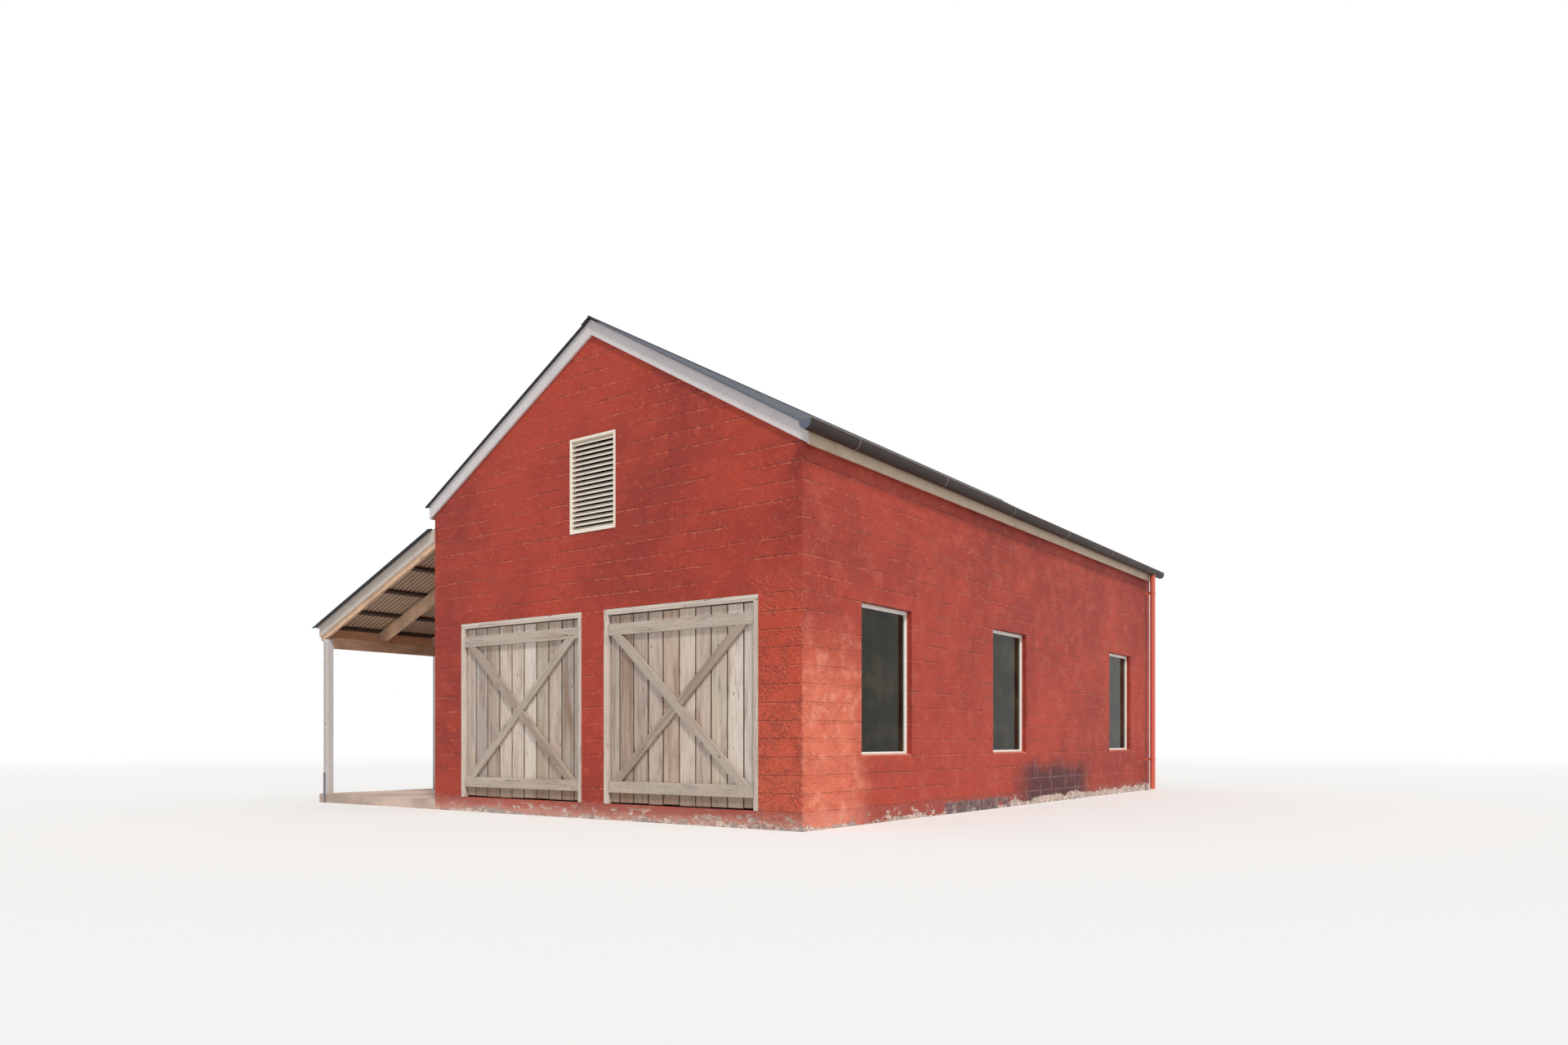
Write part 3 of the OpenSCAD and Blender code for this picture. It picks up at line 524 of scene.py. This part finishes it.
# The timbers under the awning: their own colour with painted warm shade in its tan
awning_wood = timber("awning_wood", lengthwise, shade(222, 184, 150), 0.12)
awning_rafter_wood = timber("awning_rafter_wood", up_awning_rafter, shade(230, 192, 160), 0.12)
stained = timber("stained_battens", lengthwise, shade(70, 50, 38), 0.05)
barge_paint = painted_timber("barge_paint", shade(210, 203, 204), shade(150, 140, 134), 0.15)
awning_barge_paint = painted_timber("awning_barge_paint", shade(200, 188, 178), shade(150, 134, 122), 0.2)
fascia_paint = painted_timber("fascia_paint", shade(204, 182, 158), shade(140, 116, 94), 0.25)
# Painted warm shade: the awning fascia's inner side, tan where its outer side is cream
awning_fascia_shaded_paint = painted_timber("awning_fascia_shaded_paint", shade(224, 180, 146), shade(150, 112, 84), 0.25)
post_paint = painted_timber("post_paint", shade(206, 202, 200), shade(156, 148, 142), 0.3)
vent_metal = plain_metal("vent_metal", shade(238, 228, 214), 0.45, spots=0.08)
frame_paint = plain_metal("frame_paint", shade(232, 228, 222), 0.35, spots=0.1)
sill_paint = plain_metal("sill_paint", shade(214, 128, 104), 0.6)
dark_sheet = sheet_metal("dark_sheet", shade(44, 50, 64), shade(84, 84, 88), roof_wave_start)
# The awning sheet's underside colour holds painted warm shade as well as its own beige
awning_sheet_look = sheet_metal("awning_sheet_look", shade(52, 56, 66), shade(192, 164, 138), awning_wave_start)
strap_metal = plain_metal("strap_metal", shade(104, 90, 82), 0.4)
pipe_paint = plain_metal("pipe_paint", shade(206, 98, 76), 0.55)
steel = plain_metal("hinge_steel", shade(72, 70, 68), 0.5, 0.8)

wear("front_plinth front_pier_left front_pier_centre front_pier_right front_gable_wall right_wall left_wall"
     " rear_wall", paint)
wear("window_sills", sill_paint)
wear("floor_slab awning_slab", concrete())
wear("left_door_straps right_door_straps hinge_pins", steel)
wear("window_glass", dark_glass())
wear("gable_vents awning_flashing", vent_metal)
wear("ridge_cap", dark_sheet)
wear("ridge_board purlins wall_plates", rough_sawn)
wear("rafters", rafter_wood)
wear("barge_front barge_rear", barge_paint)
wear("awning_barges", awning_barge_paint)
wear("eave_fascias", fascia_paint)
wear("awning_posts", post_paint)
wear("gutter", gutter_look())
wear("gutter_brackets", strap_metal)
wear("downpipe", pipe_paint)
wear("post_conduit", conduit_look())
wear("awning_beam awning_ledger", awning_wood)
wear("awning_rafters", awning_rafter_wood)
wear("awning_battens", stained)
worn_edge, board_edge, trim_edge, planed_edge = 0.003, 0.0025, 0.0015, 0.001       # how wide the edges are worn
soften("barge_front barge_rear awning_barges awning_posts awning_beam awning_rafters awning_slab", worn_edge)


# Builders of added pieces
def finish_piece(name, mesh, material, body, bevel=0.0, smooth=False):
    """Puts a mesh in the scene with its material, and has it ride on a body."""
    piece = bpy.data.objects.new(name, mesh)
    bpy.context.scene.collection.objects.link(piece)
    piece.data.materials.append(material)
    for face in piece.data.polygons:
        face.use_smooth = smooth
    if bevel:
        edge = piece.modifiers.new("worn_edges", "BEVEL")
        edge.width, edge.segments, edge.limit_method = bevel, 2, "ANGLE"
    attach(piece, body)
    return piece


def second_material(piece, material, chosen):
    """Another material for the faces whose direction is chosen."""
    piece.data.materials.append(material)
    for face in piece.data.polygons:
        if chosen(face.normal):
            face.material_index = 1


def mesh_from(shape, name):
    bmesh.ops.recalc_face_normals(shape, faces=shape.faces)
    made = bpy.data.meshes.new(name)
    shape.to_mesh(made)
    shape.free()
    return made


def rectangle(a0, a1, b0, b1):
    """The corners of a rectangle, in turn."""
    return [(a0, b0), (a1, b0), (a1, b1), (a0, b1)]


class Joinery:
    """Boards in one mesh, each with a colour and a grain of its own."""

    def __init__(self, seed):
        self.shape = bmesh.new()
        for name in ("grain", "tint"):
            self.shape.verts.layers.float_vector.new(name)
        self.grain, self.tint = (self.shape.verts.layers.float_vector[name] for name in ("grain", "tint"))
        self.random = random.Random(seed)

    def board(self, colour, axis, outline, near, far, along=None):
        """An outline across one axis, from near to far on it; the grain runs along it unless told otherwise."""
        straight = Vector([float(name == axis) for name in "xyz"])
        along = Vector(along or straight).normalized()
        across = along.cross((0, 1, 0)) + Vector((0, 1, 0))
        own = self.random.uniform(0, 60)
        rings = []
        for at in (near, far):
            ring = []
            for a, b in outline:
                point = Vector({"x": (at, a, b), "y": (a, at, b), "z": (a, b, at)}[axis])
                vertex = self.shape.verts.new(point)
                vertex[self.grain] = (point.dot(along), point.dot(across), own)
                vertex[self.tint] = colour[:3]
                ring.append(vertex)
            rings.append(ring)
        self.shape.faces.new(rings[0])
        self.shape.faces.new(rings[1][::-1])
        for i in range(len(outline)):
            j = (i + 1) % len(outline)
            self.shape.faces.new((rings[0][j], rings[0][i], rings[1][i], rings[1][j]))


# Door leaves, in the measures of the source
leaf_low, leaf_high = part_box("right_door_boards")
leaf_front, leaf_back = leaf_low[1], leaf_high[1]
rails_low, rails_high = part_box("right_door_braces")
rail_h, board_gap = 0.14, 0.014
uneven_foot, uneven_head, uneven_face = 0.012, 0.004, 0.003     # how far the boards differ from each other
head_rail_foot, foot_rail_top = rails_high[2] - rail_h, rails_low[2] + rail_h
brace_half = 0.083                      # half the width of a brace, measured along a rail
halving_gap = 0.003                     # open joint between the whole brace and the halved one
halved_back = 0.001                     # how far the halved brace's face stays behind the whole one's

grey, pale_grey, warm_grey = shade(168, 154, 147), shade(204, 192, 184), shade(172, 154, 143)
olive, pale_olive, drab = shade(172, 156, 137), shade(194, 178, 160), shade(150, 133, 121)
brown, tan, pink_tan = shade(154, 128, 112), shade(184, 158, 140), shade(188, 168, 156)
cream, bright_cream, rail_grey = shade(206, 189, 175), shade(218, 204, 193), shade(182, 168, 156)
brace_grey, brace_brown = shade(176, 162, 150), shade(158, 140, 126)

# Joints between the boards, measured leftwards from the window wall's face, and the boards' colours
right_joints = (2.768, 2.533, 2.290, 2.052, 1.794, 1.542, 1.308, 1.068, 0.833)
right_colours = (warm_grey, brown, warm_grey, pink_tan, tan, cream, pink_tan, pale_olive, bright_cream, pale_grey)
left_joints = (5.535, 5.289, 5.032, 4.780, 4.533, 4.291, 4.054, 3.806, 3.579)
left_colours = (pink_tan, grey, warm_grey, cream, cream, bright_cream, olive, pink_tan, drab, grey)


def leaf_boards(name, node, joints, colours, body, seed):
    """Upright boards with open joints, uneven at their ends and faces; gives the places of their edges."""
    low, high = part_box(node)
    boards = Joinery(seed)
    edges = [low[0]] + [wall_right - w for w in joints] + [high[0]]
    for colour, x0, x1 in zip(colours, edges, edges[1:]):
        foot = low[2] + boards.random.uniform(0.0, uneven_foot)
        top = high[2] - boards.random.uniform(0.0, uneven_head)
        proud = boards.random.uniform(0.0, uneven_face)
        outline = rectangle(x0 + board_gap / 2, x1 - board_gap / 2, foot, top)
        boards.board(colour, "y", outline, leaf_front + proud, leaf_back, (0, 0, 1))
    piece = finish_piece(name, mesh_from(boards.shape, name), door_timber, body, board_edge)
    second_material(piece, joint_painted_shade, lambda way: abs(way.x) > 0.9)       # the sides, deep in the joints, darkened as painted shade
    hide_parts(node)
    return edges


right_edges = leaf_boards("right_leaf_boards", "right_door_boards", right_joints, right_colours, right_leaf, 11)
left_edges = leaf_boards("left_leaf_boards", "left_door_boards", left_joints, left_colours, left_leaf, 23)


def crossing(p, q, r, s):
    """Where the line through p and q meets the line through r and s."""
    (px, pz), (qx, qz), (rx, rz), (sx, sz) = p, q, r, s
    part = ((rx - px) * (sz - rz) - (rz - pz) * (sx - rx)) / ((qx - px) * (sz - rz) - (qz - pz) * (sx - rx))
    return (px + (qx - px) * part, pz + (qz - pz) * part)


def leaf_rails(name, node, body, whole, halved, seed):
    """Two rails, one whole brace and one halved against it; each brace from its head to its foot."""
    low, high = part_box(node)
    front, back = low[1], high[1]
    timbers = Joinery(seed)
    for z, colour in ((low[2], rail_grey), (head_rail_foot, rail_grey)):
        timbers.board(colour, "y", rectangle(low[0], high[0], z, z + rail_h), front, back, (1, 0, 0))

    def line(ends, shift):
        return (wall_right - ends[0] + shift, head_rail_foot), (wall_right - ends[1] + shift, foot_rail_top)

    def direction(ends):
        (x0, z0), (x1, z1) = line(ends, 0)
        return (x0 - x1, 0, z0 - z1)

    left, right = line(whole, -brace_half), line(whole, brace_half)
    timbers.board(brace_grey, "y", [left[0], right[0], right[1], left[1]], front, back, direction(whole))
    hand = 1 if halved[0] < whole[0] else -1        # the side of the whole brace that the upper half lies on
    left, right = line(halved, -brace_half), line(halved, brace_half)
    for end, side in ((0, hand), (1, -hand)):
        stop = line(whole, side * (brace_half + halving_gap))
        outline = [left[end], right[end], crossing(*right, *stop), crossing(*left, *stop)]
        timbers.board(brace_brown, "y", outline, front + halved_back, back, direction(halved))
    piece = finish_piece(name, mesh_from(timbers.shape, name), rail_timber, body, worn_edge)
    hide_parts(node)


# Where the head and the foot of the whole brace and of the halved one stand, measured as the joints are
leaf_rails("right_leaf_rails", "right_door_braces", right_leaf, (2.790, 0.825), (0.850, 2.795), 31)
leaf_rails("left_leaf_rails", "left_door_braces", left_leaf, (3.620, 5.585), (5.585, 3.620), 37)


def round_heads(name, places, radius, height, out, material, body, sides=8):
    """Low round heads of nails and screws that stand out from their places."""
    out = Vector(out).normalized()
    first = out.orthogonal().normalized()
    second = out.cross(first)
    shape = bmesh.new()
    for place in places:
        rings = []
        for lift, r in ((0.0, radius), (height * 0.6, radius), (height, radius * 0.6)):
            rings.append([shape.verts.new(Vector(place) + out * lift + r * (
                first * math.cos(2 * math.pi * i / sides) + second * math.sin(2 * math.pi * i / sides)))
                for i in range(sides)])
        for low, high in zip(rings, rings[1:]):
            for i in range(sides):
                j = (i + 1) % sides
                shape.faces.new((low[i], low[j], high[j], high[i]))
        shape.faces.new(rings[-1])
        shape.faces.new(rings[0][::-1])
    finish_piece(name, mesh_from(shape, name), material, body)


nail_r, nail_h = 0.0045, 0.0012
nail_in = 0.035                         # how far the nails sit from a rail's edges
for name, edges, body in (("right_leaf_nails", right_edges, right_leaf), ("left_leaf_nails", left_edges, left_leaf)):
    heads = [((x0 + x1) / 2 + shift * (x1 - x0) * 0.25, rails_low[1], z + nail_in + lift * (rail_h - 2 * nail_in))
             for x0, x1 in zip(edges, edges[1:]) for z in (rails_low[2], head_rail_foot)
             for shift, lift in ((-1, 0), (1, 1))]
    round_heads(name, heads, nail_r, nail_h, (0, -1, 0), steel, body)

# Door frames: a head over two jambs, stepped and grooved on their faces
frames_low, frames_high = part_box("door_frames")
door_w, jamb_w = 2.4, 0.065
groove_at, groove_w, groove_d, step_d = 0.043, 0.004, 0.007, 0.004
head_joint = 0.001                      # open joint between the head and the jambs
frame_front, frame_back = frames_low[1], frames_high[1]
frame_colours = (shade(210, 196, 184), shade(202, 188, 176), shade(214, 202, 190))


def frame_profile(outer, inner):
    """The section of a frame timber, as distances across its face and from front to back."""
    hand = 1 if inner > outer else -1
    face = [(0, 0), (groove_at, 0), (groove_at, groove_d), (groove_at + groove_w, groove_d),
            (groove_at + groove_w, step_d), (jamb_w, step_d), (jamb_w, frame_back - frame_front),
            (0, frame_back - frame_front)]
    return [(outer + hand * across, frame_front + deep) for across, deep in face]


frame_timbers = Joinery(41)
for x0, x1 in ((frames_low[0], frames_low[0] + door_w), (frames_high[0] - door_w, frames_high[0])):
    for outer, inner, colour in ((x0, x0 + jamb_w, frame_colours[0]), (x1, x1 - jamb_w, frame_colours[1])):
        frame_timbers.board(colour, "z", frame_profile(outer, inner), frames_low[2],
                            frames_high[2] - jamb_w - head_joint)
    head = [(deep, z) for z, deep in frame_profile(frames_high[2], frames_high[2] - jamb_w)]
    frame_timbers.board(frame_colours[2], "x", head, x0, x1)
piece = finish_piece("stepped_door_frames", mesh_from(frame_timbers.shape, "stepped_door_frames"),
                     board_timber("frame_boards", worn=0.2), barn, trim_edge)
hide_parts("door_frames")

# Window frames: mitred, with a step towards the glass
win_w, win_h, sill_z, win_frame = 1.2, 1.8, 0.8, 0.045
win_end, win_mid = 1.2, 4.8
win_starts = (win_end, win_mid, side_l - win_end - win_w)
frame_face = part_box("window_frames")[1][0] - mid_x      # distance of the frames' faces from the middle
win_depth = 0.06
step_at, step_end, step_back = 0.03, 0.031, 0.01        # the step towards the glass
win_profile = ((0.0, win_depth), (0.0, 0.0), (step_at, 0.0), (step_end, step_back), (win_frame, step_back),
               (win_frame, win_depth))
shape = bmesh.new()
for hand in (1, -1):
    for start in win_starts:
        rings = []
        for inset, deep in win_profile:
            y0, y1 = front_y + start + inset, front_y + start + win_w - inset
            z0, z1 = sill_z + inset, sill_z + win_h - inset
            rings.append([shape.verts.new((mid_x + hand * (frame_face - deep), y, z))
                          for y, z in rectangle(y0, y1, z0, z1)])
        for k in range(len(rings)):
            ring, following = rings[k], rings[(k + 1) % len(rings)]
            for i in range(4):
                j = (i + 1) % 4
                shape.faces.new((ring[i], ring[j], following[j], following[i]))
piece = finish_piece("stepped_window_frames", mesh_from(shape, "stepped_window_frames"), frame_paint, barn,
                     trim_edge)
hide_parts("window_frames")

# Corrugated sheets as smooth waves
wave_points = 10


def corrugated(name, node, start, down, square, length, run, material):
    """A sheet whose waves follow each other along y; down is the way water runs, square stands on the sheet."""
    down, square, start = Vector(down), Vector(square), Vector(start)
    waves = int(length / wave_p)
    side = (length - waves * wave_p) / 2
    ys = [0.0] + [side + i * wave_p / wave_points for i in range(waves * wave_points + 1)] + [length]
    shape = bmesh.new()
    rows = {}
    for top in (0, 1):
        for end in (0, 1):
            row = []
            for y in ys:
                turn = 2 * math.pi * ((y - side) / wave_p - wave_low)
                lift = (wave_h - sheet_t) * (1 - math.cos(turn)) / 2 if side < y < length - side else 0.0
                at = start + down * (run * end) + square * (lift + sheet_t * top)
                row.append(shape.verts.new((at.x, y - length / 2, at.z)))
            rows[top, end] = row
    for i in range(len(ys) - 1):
        for a, b in (((1, 0), (1, 1)), ((0, 1), (0, 0)), ((0, 0), (1, 0)), ((1, 1), (0, 1))):
            shape.faces.new((rows[a][i], rows[a][i + 1], rows[b][i + 1], rows[b][i]))
    for i in (0, -1):
        shape.faces.new([rows[key][i] for key in ((0, 0), (1, 0), (1, 1), (0, 1))])
    piece = finish_piece(name, mesh_from(shape, name), material, barn, smooth=True)
    crease = piece.modifiers.new("sharp_ends", "EDGE_SPLIT")
    crease.split_angle = math.radians(50)
    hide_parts(node)


roof_pitch, awning_pitch = math.radians(30), math.radians(22)
barge_d = 0.165
ridge_clear, wall_clear = 0.02, 0.012           # gaps at the sheets' upper ends, down the slope
roof_drip, awning_reach = 0.135, 3.03           # how far the sheets reach past the walls
awning_z = 3.995
sheet_z = wall_h + (barge_d + half_w * math.sin(roof_pitch)) / math.cos(roof_pitch)
for side_name, hand in (("right", 1), ("left", -1)):
    down = (hand * math.cos(roof_pitch), 0, -math.sin(roof_pitch))
    square = (hand * math.sin(roof_pitch), 0, math.cos(roof_pitch))
    begin = Vector((mid_x, 0, sheet_z)) + Vector(down) * ridge_clear
    corrugated(f"{side_name}_roof_waves", f"roof_sheet_{side_name}", begin, down, square, roof_l,
               (half_w + roof_drip) / math.cos(roof_pitch) - ridge_clear, dark_sheet)
down = (-math.cos(awning_pitch), 0, -math.sin(awning_pitch))
square = (-math.sin(awning_pitch), 0, math.cos(awning_pitch))
begin = Vector((mid_x - half_w, 0, awning_z)) + Vector(down) * wall_clear
corrugated("awning_waves", "awning_sheet", begin, down, square, awning_l,
           awning_reach / math.cos(awning_pitch) - wall_clear, awning_sheet_look)

# Awning fascia, its top edge planed to the slope so that it closes against the last batten
fascia_low, fascia_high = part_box("awning_fascia")
planed = (fascia_high[0] - fascia_low[0]) * math.tan(awning_pitch)
outline = [(fascia_low[0], fascia_low[2]), (fascia_high[0], fascia_low[2]),
           (fascia_high[0], fascia_high[2] + planed), (fascia_low[0], fascia_high[2])]
fascia_board = Joinery(43)
fascia_board.board(cream, "y", outline, fascia_low[1], fascia_high[1], (0, 0, 1))
piece = finish_piece("planed_awning_fascia", mesh_from(fascia_board.shape, "planed_awning_fascia"),
                     awning_barge_paint, barn, planed_edge)
second_material(piece, awning_fascia_shaded_paint, lambda way: way.x > 0.9)        # the inner side, tan: the cream paint with painted warm shade
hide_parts("awning_fascia")

# Roofing screws on the crests of the waves, over the purlins
screw_every = 4                         # a screw on every fourth wave
screw_r, screw_h, screw_sides = 0.008, 0.005, 6
screw_seat = 0.001                      # how deep the heads sit in the sheet
purlin_n, purlin_w, purlin_first = 5, 0.07, 0.12
for side_name, hand in (("right", 1), ("left", -1)):
    down = Vector((hand * math.cos(roof_pitch), 0, -math.sin(roof_pitch)))
    square = Vector((hand * math.sin(roof_pitch), 0, math.cos(roof_pitch)))
    begin = Vector((mid_x, 0, sheet_z))
    purlin_run = (half_w - wall_t / 2) / math.cos(roof_pitch) - purlin_first - purlin_w
    screw_places = []
    for row in range(purlin_n):
        for i in range(2, int(roof_l / wave_p) - 1, screw_every):
            y = -roof_l / 2 + (roof_l % wave_p) / 2 + (i + wave_low + 0.5) * wave_p
            at = begin + down * (purlin_first + purlin_w / 2 + row * purlin_run / (purlin_n - 1))
            at += square * (wave_h - screw_seat)
            screw_places.append((at.x, y, at.z))
    round_heads(f"{side_name}_roof_screws", screw_places, screw_r, screw_h, square, steel, barn,
                screw_sides)


# Studio
floor_size, fade_start, fade_end = 120.0, 16.0, 60.0
look = Look("studio_floor")
distance = (look.x * look.x + look.y * look.y) ** 0.5
plain = look.node("ShaderNodeBsdfDiffuse", values={"Color": (0.86, 0.86, 0.86, 1.0)})
white = look.node("ShaderNodeEmission", values={"Color": (1.0, 1.0, 1.0, 1.0), "Strength": 1.0})
faded = look.node("ShaderNodeMixShader", values=(
    look.seen_directly() * distance.over(fade_start, fade_end), plain, white))
look.node("ShaderNodeOutputMaterial", values=(faded,), out=None)
floor_mesh = bpy.data.meshes.new("floor")
floor_mesh.from_pydata([(x, y, 0) for x, y in rectangle(-floor_size, floor_size, -floor_size, floor_size)],
                       [], [(0, 1, 2, 3)])
floor = bpy.data.objects.new("floor", floor_mesh)
bpy.context.scene.collection.objects.link(floor)
floor.data.materials.append(look.material)

sun_from = (0.527, -0.369, 0.766)
sun_data = bpy.data.lights.new("key", "SUN")
sun_data.energy = 2.4
sun_data.angle = math.radians(8)        # wide, for soft shadows
sun_data.color = (1.0, 0.97, 0.92)
sun = bpy.data.objects.new("key", sun_data)
sun.rotation_euler = Vector(sun_from).to_track_quat("Z", "Y").to_euler()
bpy.context.scene.collection.objects.link(sun)

world = bpy.data.worlds.new("studio")
bpy.context.scene.world = world
world.use_nodes = True
sky = Tree(world.node_tree)
soft_light = sky.node("ShaderNodeBackground", values={"Color": (0.95, 0.975, 1.0, 1.0), "Strength": 0.5})
white = sky.node("ShaderNodeBackground", values={"Color": (1.0, 1.0, 1.0, 1.0), "Strength": 1.0})
chosen = sky.node("ShaderNodeMixShader", values=(sky.seen_directly(), soft_light, white))
sky.node("ShaderNodeOutputWorld", values=(chosen,), out=None)
